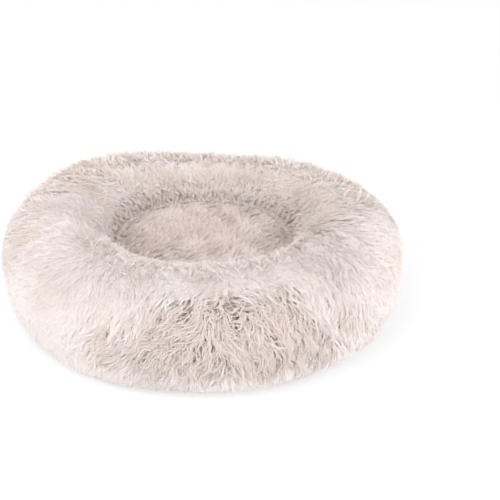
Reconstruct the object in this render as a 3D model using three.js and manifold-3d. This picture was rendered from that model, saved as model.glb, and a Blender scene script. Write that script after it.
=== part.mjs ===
// Round pet cushion: a stuffed plush ring round a crowned plush cushion, on a cloth base with a zip.
// Millimetres, +Z up. The origin is the middle of the base at floor level, and the front faces -Y.

import * as THREE from 'three';
import { mergeVertices } from 'three/addons/utils/BufferGeometryUtils.js';
import Module from 'manifold-3d';

const wasm = await Module();
wasm.setup();

// Outline over the pile
const BED_RADIUS = 300;
const BED_HEIGHT = 154;
const RING_WIDTH = 155; // from the well's crease out to the widest place
const WIDEST_SHARE = 0.61; // the widest place's height, as a share of the bed's
const WELL_HEIGHT = 90; // the crease where ring and cushion meet
const CROWN_RISE = 16;
const PILE_LIFT = 0.8; // the pressed pile's underside, over the floor

// Places across the ring, as shares of its width out from the well
const FLAT_INNER_SHARE = 0.29;
const CREST_SHARE = 0.374;
const FLAT_OUTER_SHARE = 0.535;
const BASE_SEAM_SHARE = 0.64;
const FOOT_SHARE = 0.81;

// Plush, cloth and lining
const PLUSH_DEPTH = 22;
const SEAM_PLUSH = 3; // pile crushed flat in the well's seam
const CLOTH = 1.2;
const LINING = 1;
const FIT = 0.3; // between pieces that lie against each other

// Seams and the base
const STITCH_DROP = 18; // the well's seam, below the crease
const WAIST_DROP = 20; // where ring and pillow press on each other, below the seam
const PILLOW_EDGE_INSET = 20; // the cushion's plush leaves the pillow here for its seam
const PLATEAU_MARGIN = 10; // the raised middle, past the well, which keeps the zip off the floor
const PLATEAU_LIFT = 8;

// Moulded grips on the base
const GRIP_HEIGHT = 1;
const GRIP_RADIUS = 4;
const GRIP_ROOT = 0.6; // how far a grip soaks into the cloth
const GRIP_RINGS = 2;
const GRIPS_PER_RING = 20;
const GRIP_SIDES = 6;

// Filling mouths in the linings
const MOUTH_LENGTH = 90;
const MOUTH_WIDTH = 3;

// Zip chain
const CHAIN_INSET = 30; // from the raised middle's edge
const TOOTH_PITCH = 5;
const TOOTH_NECK = 1.6;
const TOOTH_ROOT = 2.8;
const TOOTH_GAP = 0.4;
const TOOTH_REACH = 1.2; // past the middle line
const TOOTH_GRIP = 2.2; // over the tape's edge
const TOOTH_HEIGHT = 2.4;
const TAPE_EDGE = 1.8; // from the middle line
const TAPE_WIDTH = 16;
const TAPE_THICKNESS = 0.8;
const TAPE_TAIL = 6;

// Zip slider, its pull and the stops
const SLIDER_LENGTH = 18;
const SLIDER_PLATE = 1.2;
const SLIDER_RIM = 1.1;
const SLIDER_FLARE = 2.4; // wider at the mouths than at the tail
const PIN_RADIUS = 0.8;
const EYE_RADIUS = 1.9;
const EYE_WIDTH = 2.6;
const LUG_WIDTH = 1;
const LUG_RADIUS = 2;
const PULL_LENGTH = 24;
const PULL_WIDTH = 8;
const PULL_THICKNESS = 1.6;
const PULL_NECK = 3.4;
const PULL_RIM = 2; // round the pull's hole
const STOP_LENGTH = 3;
const STOP_WALL = 0.6;
const STOP_REACH = 1.6; // over the tape's edge

const CUT_OVERRUN = 20;

// Steps round the ring, along each quarter of an outline, and along each half of a small round
const RING_STEPS = 36;
const PILE_STEPS = 5;
const PILE_FOOT_STEPS = 4;
const BAG_STEPS = 3;
const ROUND_STEPS = 8;

// Boxiness of the rounded outlines: 2 is an ellipse
const FOOT_BOXINESS = 2.2;
const SHOULDER_BOXINESS = 2.05;
const WALL_BOXINESS = 2.2;
const CROWN_BOXINESS = 2.4;
const PILLOW_BOXINESS = 3.2;

// Uneven stuffing as [waves round the ring, share of the size, share of a turn to the first peak].
// Even wave counts keep the width balanced about the middle.
const RADIUS_WAVE_SHARES = [
  [2, 0.024, 0.967],
  [4, 0.0045, 0.133],
  [8, 0.005, 0.04],
];
const HEIGHT_WAVE_SHARES = [
  [1, 0.055, 0.587],
  [2, 0.05, 0.963],
  [3, 0.019, 0.066],
  [5, 0.01, 0.13],
  [9, 0.008, 0.05],
];

// Creases across the crest as [share of a turn, share of the height, half width as a share of a turn]
const CREASE_SHARES = [
  [0.278, 0.04, 0.022],
  [0.699, 0.025, 0.03],
];

const widestHeight = BED_HEIGHT * WIDEST_SHARE;
const stitchHeight = WELL_HEIGHT - STITCH_DROP;
const waistHeight = stitchHeight - WAIST_DROP;
const wellRadius = BED_RADIUS - RING_WIDTH;
const flatInnerRadius = wellRadius + RING_WIDTH * FLAT_INNER_SHARE;
const crestRadius = wellRadius + RING_WIDTH * CREST_SHARE;
const flatOuterRadius = wellRadius + RING_WIDTH * FLAT_OUTER_SHARE;
const baseSeamRadius = wellRadius + RING_WIDTH * BASE_SEAM_SHARE;
const footRadius = wellRadius + RING_WIDTH * FOOT_SHARE;
const pillowEdgeRadius = wellRadius - PILLOW_EDGE_INSET;
const plateauRadius = wellRadius + PLATEAU_MARGIN;

const bagInnerRadius = wellRadius + SEAM_PLUSH;
const bagOuterRadius = BED_RADIUS - PLUSH_DEPTH;
const bagTop = BED_HEIGHT - PLUSH_DEPTH;
const bagLift = GRIP_HEIGHT + CLOTH + FIT;
const plateauTop = PLATEAU_LIFT + CLOTH;
const tapeMiddle = plateauTop + FIT + TAPE_THICKNESS / 2;

const chainHalfWidth = TAPE_EDGE + TOOTH_GRIP;
const chainEnd = plateauRadius - CHAIN_INSET;
const sliderHalfHeight = TOOTH_HEIGHT / 2 + FIT + SLIDER_PLATE;
const sliderRest = chainEnd + FIT; // the slider's middle, with the zip closed
const pinDrop = sliderHalfHeight + FIT + EYE_RADIUS;
const stopStart = sliderRest + SLIDER_LENGTH / 2 + FIT;
const tapeEnd = stopStart + STOP_LENGTH + TAPE_TAIL;

const plush = { color: '#e9ddd7', roughness: 1, metalness: 0 };
const lining = { color: '#f2f1ee', roughness: 0.95, metalness: 0 };
const fibre = { color: '#fbfaf8', roughness: 1, metalness: 0 };
const baseCloth = { color: '#cfc4bb', roughness: 0.9, metalness: 0 };
const tapeCloth = { color: '#d9cfc6', roughness: 0.85, metalness: 0 };
const nickel = { color: '#b9b6b0', roughness: 0.35, metalness: 1 };

// Rounded outlines in the plane of radius and height

// One quarter of a rounded outline about its centre, reaching out by signed lengths.
function quarter(centreR, centreZ, reachR, reachZ, boxiness) {
  return { centreR, centreZ, reachR, reachZ, boxiness };
}

// A point and its outward normal. Turn 0 is the quarter's side, and turn 1 its top or foot.
function pointOn({ centreR, centreZ, reachR, reachZ, boxiness }, turn) {
  const angle = (turn * Math.PI) / 2;
  const across = Math.max(Math.cos(angle), 0) ** (2 / boxiness);
  const along = Math.sin(angle) ** (2 / boxiness);
  const normal = new THREE.Vector2(
    across ** (boxiness - 1) / reachR,
    along ** (boxiness - 1) / reachZ,
  ).normalize();
  return { r: centreR + across * reachR, z: centreZ + along * reachZ, normal };
}

function turnAtRadius({ centreR, reachR, boxiness }, radius) {
  const across = (radius - centreR) / reachR;
  return Math.acos(across ** (boxiness / 2)) / (Math.PI / 2);
}

function turnAtHeight({ centreZ, reachZ, boxiness }, height) {
  const along = (height - centreZ) / reachZ;
  return Math.asin(along ** (boxiness / 2)) / (Math.PI / 2);
}

// Points from one turn to another, without the last.
function arc(corner, from, to, steps) {
  return Array.from({ length: steps }, (_, i) => pointOn(corner, from + ((to - from) * i) / steps));
}

function offset(points, distance) {
  return points.map(({ r, z, normal }) => [r + normal.x * distance, z + normal.y * distance]);
}

// The same run of points, with its last stretch shorter.
function shortened(points, length) {
  const [[r, z], [endR, endZ]] = points.slice(-2);
  const kept = 1 - length / Math.hypot(endR - r, endZ - z);
  return [...points.slice(0, -1), [r + (endR - r) * kept, z + (endZ - z) * kept]];
}

// The ring's outline over its pile, and the stuffed bag inside it
const pileFoot = quarter(
  footRadius, widestHeight, BED_RADIUS - footRadius, PILE_LIFT - widestHeight, FOOT_BOXINESS,
);
const pileShoulder = quarter(
  crestRadius, widestHeight, BED_RADIUS - crestRadius, BED_HEIGHT - widestHeight,
  SHOULDER_BOXINESS,
);
const pileWall = quarter(
  crestRadius, WELL_HEIGHT, wellRadius - crestRadius, BED_HEIGHT - WELL_HEIGHT, WALL_BOXINESS,
);
const bagFoot = quarter(
  flatOuterRadius, widestHeight, bagOuterRadius - flatOuterRadius, bagLift - widestHeight,
  FOOT_BOXINESS,
);
const bagShoulder = quarter(
  crestRadius, widestHeight, bagOuterRadius - crestRadius, bagTop - widestHeight,
  SHOULDER_BOXINESS,
);
const bagWall = quarter(
  crestRadius, waistHeight, bagInnerRadius - crestRadius, bagTop - waistHeight, WALL_BOXINESS,
);
const bagToe = quarter(
  flatInnerRadius, waistHeight, bagInnerRadius - flatInnerRadius, bagLift - waistHeight,
  WALL_BOXINESS,
);

const bagAtBaseSeam = turnAtRadius(bagFoot, baseSeamRadius);
const bagAtStitch = turnAtHeight(bagWall, stitchHeight);

// The bag's stations run from the base's seam over the crest to the well's seam, then back below.
const bagArch = [
  ...arc(bagFoot, bagAtBaseSeam, 0, BAG_STEPS),
  ...arc(bagShoulder, 0, 1, BAG_STEPS),
  ...arc(bagWall, 1, bagAtStitch, BAG_STEPS),
  pointOn(bagWall, bagAtStitch),
];
const bagUnder = [...arc(bagToe, 0, 1, BAG_STEPS), pointOn(bagToe, 1), pointOn(bagFoot, 1)];

// The pillow under the cushion's plush
const pillowTop = WELL_HEIGHT + CROWN_RISE - PLUSH_DEPTH;
const pillowRadius = bagInnerRadius - FIT;
const pillowUpper = quarter(0, waistHeight, pillowRadius, pillowTop - waistHeight, PILLOW_BOXINESS);
const pillowLower = quarter(
  0, waistHeight, pillowRadius, plateauTop + FIT - waistHeight, PILLOW_BOXINESS,
);
const pillowEdge = turnAtRadius(pillowUpper, pillowEdgeRadius);
const pillowCrown = [...arc(pillowUpper, 1, pillowEdge, PILE_STEPS), pointOn(pillowUpper, pillowEdge)];
const pillowOutline = [
  ...pillowCrown,
  ...arc(pillowUpper, pillowEdge, 0, 2).slice(1),
  ...arc(pillowLower, 0, 1, BAG_STEPS),
  pointOn(pillowLower, 1),
];

// Solids

// A geometry as a closed solid: shared corners are merged, and faces that closed up are left out.
function solid(geometry) {
  geometry.deleteAttribute('normal');
  geometry.deleteAttribute('uv');
  const merged = mergeVertices(geometry);
  const corners = Array.from(merged.index.array);
  const faces = [];
  for (let i = 0; i < corners.length; i += 3) {
    const [a, b, c] = corners.slice(i, i + 3);
    if (a !== b && b !== c && c !== a) faces.push(a, b, c);
  }
  return new wasm.Manifold(new wasm.Mesh({
    numProp: 3,
    vertProperties: new Float32Array(merged.attributes.position.array),
    triVerts: new Uint32Array(faces),
  }));
}

function geometryOf(manifold) {
  const mesh = manifold.getMesh();
  const geometry = new THREE.BufferGeometry();
  geometry.setAttribute('position', new THREE.BufferAttribute(mesh.vertProperties, 3));
  geometry.setIndex(new THREE.BufferAttribute(mesh.triVerts, 1));
  return geometry;
}

function waveAt(waveShares, angle) {
  return waveShares.reduce(
    (sum, [waves, share, peak]) => sum + share * Math.cos(waves * (angle - peak * 2 * Math.PI)), 0,
  );
}

function creaseAt(angle) {
  return CREASE_SHARES.reduce((sum, [place, depth, halfWidth]) => {
    const away = angle / (2 * Math.PI) - place;
    const turn = away - Math.round(away);
    return sum + depth * Math.exp(-((turn / halfWidth) ** 2));
  }, 0);
}

// Swells the ring as it is stuffed. The well, the pillow and the flat base under them stay round.
function stuff(geometry) {
  const places = geometry.attributes.position;
  for (let i = 0; i < places.count; i += 1) {
    const x = places.getX(i);
    const y = places.getY(i);
    const z = places.getZ(i);
    const r = Math.hypot(x, y);
    if (r <= bagInnerRadius) continue;
    const angle = Math.atan2(y, x);
    const outward = (r - bagInnerRadius) / (BED_RADIUS - bagInnerRadius);
    const upward = (z / BED_HEIGHT) ** 2;
    const swell = 1 + (BED_RADIUS * outward * waveAt(RADIUS_WAVE_SHARES, angle)) / r;
    const rise = BED_HEIGHT * upward * (waveAt(HEIGHT_WAVE_SHARES, angle) - creaseAt(angle));
    places.setXYZ(i, x * swell, y * swell, z + rise);
  }
  return geometry;
}

// Turns a closed section, or one that starts and ends on the axis, into a stuffed solid.
function stuffedLathe(section) {
  const profile = section.map(([r, z]) => new THREE.Vector2(r, z));
  if (section[0][0] > 0) profile.push(profile[0]);
  const turned = new THREE.LatheGeometry(profile, RING_STEPS);
  turned.rotateX(Math.PI / 2);
  turned.deleteAttribute('normal');
  turned.deleteAttribute('uv');
  return solid(stuff(mergeVertices(turned)));
}

// A box between two corners.
function block(low, high) {
  const size = new THREE.Vector3().subVectors(high, low);
  const middle = new THREE.Vector3().addVectors(low, high).multiplyScalar(0.5);
  return solid(new THREE.BoxGeometry(size.x, size.y, size.z).translate(middle.x, middle.y, middle.z));
}

// A block centred on the X axis.
function centredBlock(halfLength, halfWidth, bottom, top) {
  return block(
    new THREE.Vector3(-halfLength, -halfWidth, bottom), new THREE.Vector3(halfLength, halfWidth, top),
  );
}

// A shape drawn in X and Y, as a plate between two heights.
function plate(shape, bottom, top) {
  const geometry = new THREE.ExtrudeGeometry(shape, {
    depth: top - bottom,
    bevelEnabled: false,
    curveSegments: ROUND_STEPS,
  });
  return solid(geometry.translate(0, 0, bottom));
}

// A section drawn in Y and Z, as a bar along X.
function bar(shape, start, end) {
  const geometry = new THREE.ExtrudeGeometry(shape, { depth: end - start, bevelEnabled: false });
  const toX = new THREE.Matrix4().makeBasis(
    new THREE.Vector3(0, 1, 0), new THREE.Vector3(0, 0, 1), new THREE.Vector3(1, 0, 0),
  );
  return solid(geometry.applyMatrix4(toX).translate(start, 0, 0));
}

// A round bar across the zip, along Y.
function crossPin(radius, halfLength, x, z) {
  return solid(new THREE.CylinderGeometry(radius, radius, 2 * halfLength, 2 * ROUND_STEPS)
    .translate(x, 0, z));
}

function outlineOf(points) {
  return new THREE.Shape(points.map(([x, y]) => new THREE.Vector2(x, y)));
}

function mirroredAcross(points) {
  return [...points, ...points.map(([x, y]) => [x, -y]).reverse()];
}

// Stuffed ring

function ringCover() {
  const [seamRadius] = offset(bagArch, FIT)[0];
  return stuffedLathe([
    [seamRadius, PILE_LIFT],
    ...offset(arc(pileFoot, 1, 0, PILE_FOOT_STEPS), 0),
    ...offset(arc(pileShoulder, 0, 1, PILE_STEPS), 0),
    ...offset(arc(pileWall, 1, 0, PILE_STEPS), 0),
    [wellRadius, WELL_HEIGHT],
    [wellRadius, stitchHeight],
    [seamRadius, stitchHeight],
  ]).subtract(ringBag(-FIT));
}

function ringBag(inset) {
  return stuffedLathe(offset([...bagArch, ...bagUnder], -inset));
}

function ringLiner() {
  const mouthRadius = (bagInnerRadius + bagOuterRadius) / 2;
  const mouth = block(
    new THREE.Vector3(-MOUTH_LENGTH / 2, -mouthRadius - MOUTH_WIDTH / 2, bagLift - CUT_OVERRUN),
    new THREE.Vector3(MOUTH_LENGTH / 2, -mouthRadius + MOUTH_WIDTH / 2, waistHeight),
  );
  return ringBag(0).subtract(ringBag(LINING)).subtract(mouth);
}

// Cushion in the well

function cushionCover() {
  const crown = quarter(0, WELL_HEIGHT, wellRadius - FIT, CROWN_RISE, CROWN_BOXINESS);
  const pile = offset([...arc(crown, 1, 0, PILE_STEPS), pointOn(crown, 0)], 0);
  const backing = offset(pillowCrown, FIT).reverse();
  return stuffedLathe([...pile, [wellRadius - FIT, stitchHeight], ...backing].reverse());
}

// The pillow, with the dents that the zip's tapes and its slider press into its underside.
function pillow(inset) {
  const slider = sliderHalfWidth(SLIDER_LENGTH / 2) + FIT + inset;
  const tapes = TAPE_EDGE + TAPE_WIDTH + FIT + inset;
  const tapeTop = tapeMiddle + TAPE_THICKNESS / 2 + FIT + inset;
  const sliderTop = tapeMiddle + sliderHalfHeight + FIT + inset;
  return stuffedLathe(offset(pillowOutline, -inset).reverse())
    .subtract(centredBlock(BED_RADIUS, tapes, -CUT_OVERRUN, tapeTop))
    .subtract(centredBlock(BED_RADIUS, slider, -CUT_OVERRUN, sliderTop));
}

function cushionLiner() {
  const mouth = block(
    new THREE.Vector3(-MOUTH_LENGTH / 2, -pillowRadius - CUT_OVERRUN, waistHeight - MOUTH_WIDTH / 2),
    new THREE.Vector3(MOUTH_LENGTH / 2, -pillowEdgeRadius, waistHeight + MOUTH_WIDTH / 2),
  );
  return pillow(0).subtract(pillow(LINING)).subtract(mouth);
}

// Base, in two halves that the zip joins

// The slider's outer half width at a place along it, from its tail to its mouths.
function sliderHalfWidth(x) {
  const tail = chainHalfWidth + FIT + SLIDER_RIM;
  return tail + SLIDER_FLARE * THREE.MathUtils.clamp((2 * x) / SLIDER_LENGTH, 0, 1);
}

function grips(side) {
  const room = flatOuterRadius - flatInnerRadius - 2 * GRIP_RADIUS;
  const all = [];
  for (let ring = 0; ring < GRIP_RINGS; ring += 1) {
    const radius = flatInnerRadius + GRIP_RADIUS + (room * ring) / (GRIP_RINGS - 1);
    for (let i = 0; i < GRIPS_PER_RING / 2; i += 1) {
      const angle = (side * Math.PI * 2 * (i + 0.5)) / GRIPS_PER_RING;
      const height = GRIP_HEIGHT + GRIP_ROOT;
      all.push(solid(new THREE.CylinderGeometry(GRIP_RADIUS, GRIP_RADIUS, height, GRIP_SIDES)
        .rotateX(Math.PI / 2)
        .translate(radius * Math.cos(angle), radius * Math.sin(angle), height / 2)));
    }
  }
  return all;
}

function baseDisc() {
  const under = [...bagUnder.slice(-3), bagArch[0]];
  return stuffedLathe([
    [0, PLATEAU_LIFT],
    [plateauRadius, PLATEAU_LIFT],
    ...shortened(offset(under, FIT + CLOTH), CLOTH),
    ...shortened(offset(under, FIT), FIT).reverse(),
    [plateauRadius, plateauTop],
    [0, plateauTop],
  ]);
}

// Side -1 is the front half, and side 1 the rear one.
function basePanel(side) {
  const reach = BED_RADIUS + CUT_OVERRUN;
  const seam = (side * FIT) / 2;
  const otherHalf = block(
    new THREE.Vector3(-reach, Math.min(seam, -side * reach), -CUT_OVERRUN),
    new THREE.Vector3(reach, Math.max(seam, -side * reach), BED_HEIGHT),
  );
  const slotWidth = sliderHalfWidth(SLIDER_LENGTH / 2) + FIT;
  const slot = centredBlock(tapeEnd - TAPE_TAIL / 2, slotWidth, -CUT_OVERRUN, waistHeight);
  const cloth = baseDisc().subtract(otherHalf).subtract(slot);
  return grips(side).reduce((panel, grip) => panel.add(grip), cloth);
}

// Zip

// The tape's section on one side, grown by a clearance.
function tapeSection(side, grown) {
  const half = TAPE_THICKNESS / 2 + grown;
  const near = TAPE_EDGE - grown;
  const far = TAPE_EDGE + TAPE_WIDTH + grown;
  const points = [[near, half], [near, -half], [far, -half], [far, half]];
  return outlineOf(points.map(([y, z]) => [side * y, tapeMiddle + z]));
}

// A tooth pointing over the middle line, widest at its tip, so that it locks between two others.
function tooth(side, x) {
  const head = TOOTH_PITCH - TOOTH_NECK - 2 * TOOTH_GAP;
  const half = [
    [TOOTH_ROOT / 2, chainHalfWidth],
    [TOOTH_NECK / 2, TOOTH_REACH],
    [head / 2, -TOOTH_REACH],
  ];
  const points = [...half, ...half.map(([dx, y]) => [-dx, y]).reverse()];
  return plate(
    outlineOf(points.map(([dx, y]) => [x + dx, side * y])),
    tapeMiddle - TOOTH_HEIGHT / 2, tapeMiddle + TOOTH_HEIGHT / 2,
  );
}

function zipTape(side) {
  const pairs = Math.floor((2 * chainEnd - TOOTH_ROOT) / TOOTH_PITCH - 0.5);
  const start = chainEnd - TOOTH_ROOT / 2 - (side > 0 ? TOOTH_PITCH / 2 : 0);
  let tape = bar(tapeSection(side, 0), -tapeEnd, tapeEnd);
  for (let i = 0; i <= pairs; i += 1) {
    tape = tape.add(tooth(side, start - i * TOOTH_PITCH));
  }
  return tape;
}

// The slider about its own middle: two plates with rims, joined by the wedge between the mouths,
// and two lugs with a cross pin under the lower plate.
function zipSlider() {
  const half = SLIDER_LENGTH / 2;
  const cheeks = [-half, 0, half].map((x) => [x, sliderHalfWidth(x)]);
  const channel = [-half - CUT_OVERRUN, -half, 0, half, half + CUT_OVERRUN]
    .map((x) => [x, sliderHalfWidth(x) - SLIDER_RIM]);
  const room = TOOTH_HEIGHT / 2 + FIT;
  const tapeRoom = TAPE_THICKNESS / 2 + FIT;
  const wedgeHalfWidth = TAPE_EDGE - FIT;
  const wedge = [[0, 0], [half / 2, wedgeHalfWidth], [half, wedgeHalfWidth]];
  const wedgeOutline = [...wedge, ...wedge.slice(1).map(([x, y]) => [x, -y]).reverse()];
  const lugOuter = EYE_WIDTH / 2 + FIT + LUG_WIDTH;
  const lugs = crossPin(LUG_RADIUS, lugOuter, 0, -pinDrop)
    .add(centredBlock(LUG_RADIUS, lugOuter, -pinDrop, -sliderHalfHeight + SLIDER_PLATE / 2))
    .subtract(centredBlock(
      LUG_RADIUS + CUT_OVERRUN, EYE_WIDTH / 2 + FIT, -pinDrop - CUT_OVERRUN, -sliderHalfHeight,
    ))
    .add(crossPin(PIN_RADIUS, lugOuter - LUG_WIDTH / 2, 0, -pinDrop));
  return plate(outlineOf(mirroredAcross(cheeks)), -sliderHalfHeight, sliderHalfHeight)
    .subtract(plate(outlineOf(mirroredAcross(channel)), -room, room))
    .subtract(centredBlock(SLIDER_LENGTH, half + CUT_OVERRUN, -tapeRoom, tapeRoom))
    .add(plate(outlineOf(wedgeOutline), -room - SLIDER_PLATE / 2, room + SLIDER_PLATE / 2))
    .add(lugs);
}

// The pull about its hinge, lying flat along -X: an eye, a neck and a tab with a round end.
function zipPull() {
  const tab = new THREE.Shape();
  const roundStart = -PULL_LENGTH + PULL_WIDTH / 2;
  tab.moveTo(0, -EYE_WIDTH / 2);
  tab.lineTo(0, EYE_WIDTH / 2);
  tab.lineTo(-PULL_NECK, EYE_WIDTH / 2);
  tab.lineTo(-PULL_NECK - PULL_WIDTH / 4, PULL_WIDTH / 2);
  tab.lineTo(roundStart, PULL_WIDTH / 2);
  tab.absarc(roundStart, 0, PULL_WIDTH / 2, Math.PI / 2, (3 * Math.PI) / 2, false);
  tab.lineTo(-PULL_NECK - PULL_WIDTH / 4, -PULL_WIDTH / 2);
  tab.lineTo(-PULL_NECK, -EYE_WIDTH / 2);
  tab.closePath();
  const hole = new THREE.Path();
  hole.absarc(roundStart, 0, PULL_WIDTH / 2 - PULL_RIM, 0, 2 * Math.PI, true);
  tab.holes.push(hole);
  return crossPin(EYE_RADIUS, EYE_WIDTH / 2, 0, 0)
    .add(plate(tab, -PULL_THICKNESS / 2, PULL_THICKNESS / 2))
    .subtract(crossPin(PIN_RADIUS + FIT, EYE_WIDTH, 0, 0));
}

// A clip round one tape's edge, which stops the slider as the zip closes.
function closedStop(side) {
  const inner = TAPE_EDGE - FIT - STOP_WALL;
  const outer = TAPE_EDGE + STOP_REACH;
  const half = TAPE_THICKNESS / 2 + FIT + STOP_WALL;
  const clip = block(
    new THREE.Vector3(stopStart, Math.min(side * inner, side * outer), tapeMiddle - half),
    new THREE.Vector3(stopStart + STOP_LENGTH, Math.max(side * inner, side * outer), tapeMiddle + half),
  );
  return clip.subtract(bar(tapeSection(side, FIT), 0, tapeEnd));
}

// One clip round both tapes' edges, which holds the tapes together where the zip opens to.
function openStop() {
  const outer = TAPE_EDGE + STOP_REACH;
  const half = TAPE_THICKNESS / 2 + FIT + STOP_WALL;
  const near = -chainEnd - FIT;
  const clip = block(
    new THREE.Vector3(near - STOP_LENGTH, -outer, tapeMiddle - half),
    new THREE.Vector3(near, outer, tapeMiddle + half),
  );
  return clip
    .subtract(bar(tapeSection(-1, FIT), -tapeEnd, 0))
    .subtract(bar(tapeSection(1, FIT), -tapeEnd, 0));
}

// Assembly

function piece(name, manifold, finish) {
  const mesh = new THREE.Mesh(geometryOf(manifold), new THREE.MeshStandardMaterial(finish));
  mesh.name = name;
  return mesh;
}

const bed = new THREE.Group();
bed.add(piece('rim_cover', ringCover(), plush));
bed.add(piece('rim_liner', ringLiner(), lining));
bed.add(piece('rim_fill', ringBag(LINING + FIT), fibre));
bed.add(piece('cushion_cover', cushionCover(), plush));
bed.add(piece('cushion_liner', cushionLiner(), lining));
bed.add(piece('cushion_fill', pillow(LINING + FIT), fibre));
bed.add(piece('base_panel_front', basePanel(-1), baseCloth));
bed.add(piece('base_panel_rear', basePanel(1), baseCloth));
bed.add(piece('zip_tape_front', zipTape(-1), tapeCloth));
bed.add(piece('zip_tape_rear', zipTape(1), tapeCloth));
bed.add(piece('zip_closed_stop_front', closedStop(-1), nickel));
bed.add(piece('zip_closed_stop_rear', closedStop(1), nickel));
bed.add(piece('zip_open_stop', openStop(), nickel));

const slider = new THREE.Group();
slider.position.set(sliderRest, 0, tapeMiddle);
slider.add(piece('zip_slider', zipSlider(), nickel));
const pull = piece('zip_pull', zipPull(), nickel);
pull.position.z = -pinDrop;
slider.add(pull);
bed.add(slider);

export default bed;
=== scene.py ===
"""Round pet cushion, dressed: long plush on ring and cushion, a cloth base with grips, and the zip."""

import math
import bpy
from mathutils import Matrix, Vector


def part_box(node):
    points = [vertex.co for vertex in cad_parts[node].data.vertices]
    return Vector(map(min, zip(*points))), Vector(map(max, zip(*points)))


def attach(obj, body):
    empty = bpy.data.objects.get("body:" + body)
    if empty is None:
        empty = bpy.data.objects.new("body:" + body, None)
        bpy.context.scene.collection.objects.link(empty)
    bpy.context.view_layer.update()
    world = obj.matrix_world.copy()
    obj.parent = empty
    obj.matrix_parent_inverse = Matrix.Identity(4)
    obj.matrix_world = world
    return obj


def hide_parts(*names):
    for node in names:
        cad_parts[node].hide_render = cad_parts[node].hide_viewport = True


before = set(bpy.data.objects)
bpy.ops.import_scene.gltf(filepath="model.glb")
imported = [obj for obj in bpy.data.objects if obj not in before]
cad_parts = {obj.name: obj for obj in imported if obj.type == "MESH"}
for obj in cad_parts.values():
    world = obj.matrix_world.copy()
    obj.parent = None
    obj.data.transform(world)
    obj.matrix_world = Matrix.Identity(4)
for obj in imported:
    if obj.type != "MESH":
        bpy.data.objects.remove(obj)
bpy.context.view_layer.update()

from types import SimpleNamespace

import bpy
import numpy as np
from mathutils import Vector
from mathutils.bvhtree import BVHTree
from mathutils.kdtree import KDTree

MM = 0.001
TURN = 2 * math.pi
DOWN = Vector((0, 0, -1))
SCENE = bpy.context.scene
SEED = 20

# Camera: its distance from the bed's origin, its height angle, and the turns that frame the view
VIEW_DISTANCE = 1600 * MM
VIEW_ELEVATION = math.radians(30.74)
VIEW_PAN = math.radians(2.616)
VIEW_TILT = math.radians(2.379)
VIEW_LENS = 72.55
SENSOR = 36

# Floor and light. Each lamp has a place in metres and a power in watts
FLOOR_HALF = 40
FLOOR_GLOW = 0.6
WORLD_STRENGTH = 0.9
LAMP_SIZE = 2.2
LAMPS = {
    "key": ((-1.4, -1.0, 2.1), 25),
    "fill": ((0.6, -2.2, 0.9), 15),
    "left": ((-2.35, -0.35, 0.6), 5),
    "right": ((2.0, -1.0, 0.7), 16),
}

# Section of the ring: the middle it is measured from, and the plush's angles, from foot to well's seam
SECTION_RADIUS = 222 * MM
SECTION_HEIGHT = 80 * MM
FOOT_ANGLE = math.radians(-71)
SEAM_ANGLE = math.radians(173)
TURN_STEPS = 180
SECTION_STEPS = 122
SMOOTHING = 3
RAY_SKIP = 0.1 * MM

# Cushion: cells across it, and how its pile is drawn in and raised beyond this share of its radius
CUSHION_STEPS = 97
CUSHION_REACH = 0.99
CUSHION_EDGE = 0.985
EDGE_DRAW = 0.6
EDGE_RISE = 0.45
CUSHION_SHAG = 0.22

# Plush
FLOOR_CLEARANCE = 0.4 * MM
BACKING = 0.03  # share of the pile's depth at which the skins' inner face lies
HANG_ANGLE = math.radians(167)  # where hair leaves the wall and falls over the cushion
HANG_DEPTH = 0.3  # hair rooted deeper than this share of the pile stays on the wall
SEAM_LIFT = 1.5 * MM  # how far the ring's hair lies above the cushion where it hangs over the seam
SEAM_BEND = 4 * MM  # how sharply hair bends where wall and cushion meet
RING_LOCKS = 17000
RING_STRANDS = 240000
CUSHION_LOCKS = 2600
CUSHION_STRANDS = 42000
FLYAWAYS = 34000
SEAM_TUFTS = 1500
CUSHION_TUFTS = 2200
RIM_TUFTS = 2400
TUFT_STRANDS = 11
GUIDE_POINTS = 14
STRAND_POINTS = 6
CURL_POINTS = 9
FLYAWAY_POINTS = 4
PIECE_STRANDS = 12000
PALETTE_MARGIN = 0.04
STRAND_SHARE = 0.003  # half of a strand's width on the palette
SHAGGY_ROOT = 0.48  # share of the pile's depth at which the undercoat ends, where the pile is shaggy
SMOOTH_ROOT = 0.9  # and where it is smooth
FULLEST = 0.3  # how far up a strand it is widest
ROOT_WIDTH = 0.6  # share of that width at its root
HAIR_TOP = (0.6, 1.3)  # lowest and highest depth of a strand's tip
WAVY = 0.3  # how wavy a lock is whose strands get more points

# Spread of each strand's or lock's own measures, as shares of the usual one
LENGTH_SPREAD = (0.8, 1.25)
REACH_SPREAD = (0.7, 1)
WIDTH_SPREAD = (0.7, 1.3)

# Usual length in millimetres and tone of the ring's locks, and what each kind of place adds to them
LOCK_LENGTHS = {"all": 25, "curls": 14, "crest": -7, "inner": -10}
# Of the tones, the upper left crest's and the inner wall's darken the pile as painted shade; the low flank's
# is painted light off the floor, and the foot's, the near crest's and the left wall's are painted light where
# shade falls; the mottle is the pile's own
LOCK_TONES = {
    "all": 0.6, "grey": -0.12, "inner": -0.18, "foot": 0.08, "low_flank": 0.16,
    "mottle": 0.1, "near_crest": 0.12, "left_wall": 0.2,
}
SWAY = 1.7 * MM
WAVE_LENGTHS = (13 * MM, 23 * MM)
CUSHION_COMBING = math.radians(35)
CUSHION_LENGTH = 13 * MM
CUSHION_WIDTH = 0.68 * MM
FLYAWAY_LENGTH = 14 * MM
FLYAWAY_ROOT = 0.8
FLYAWAY_WIDTH = 0.5 * MM

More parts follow.
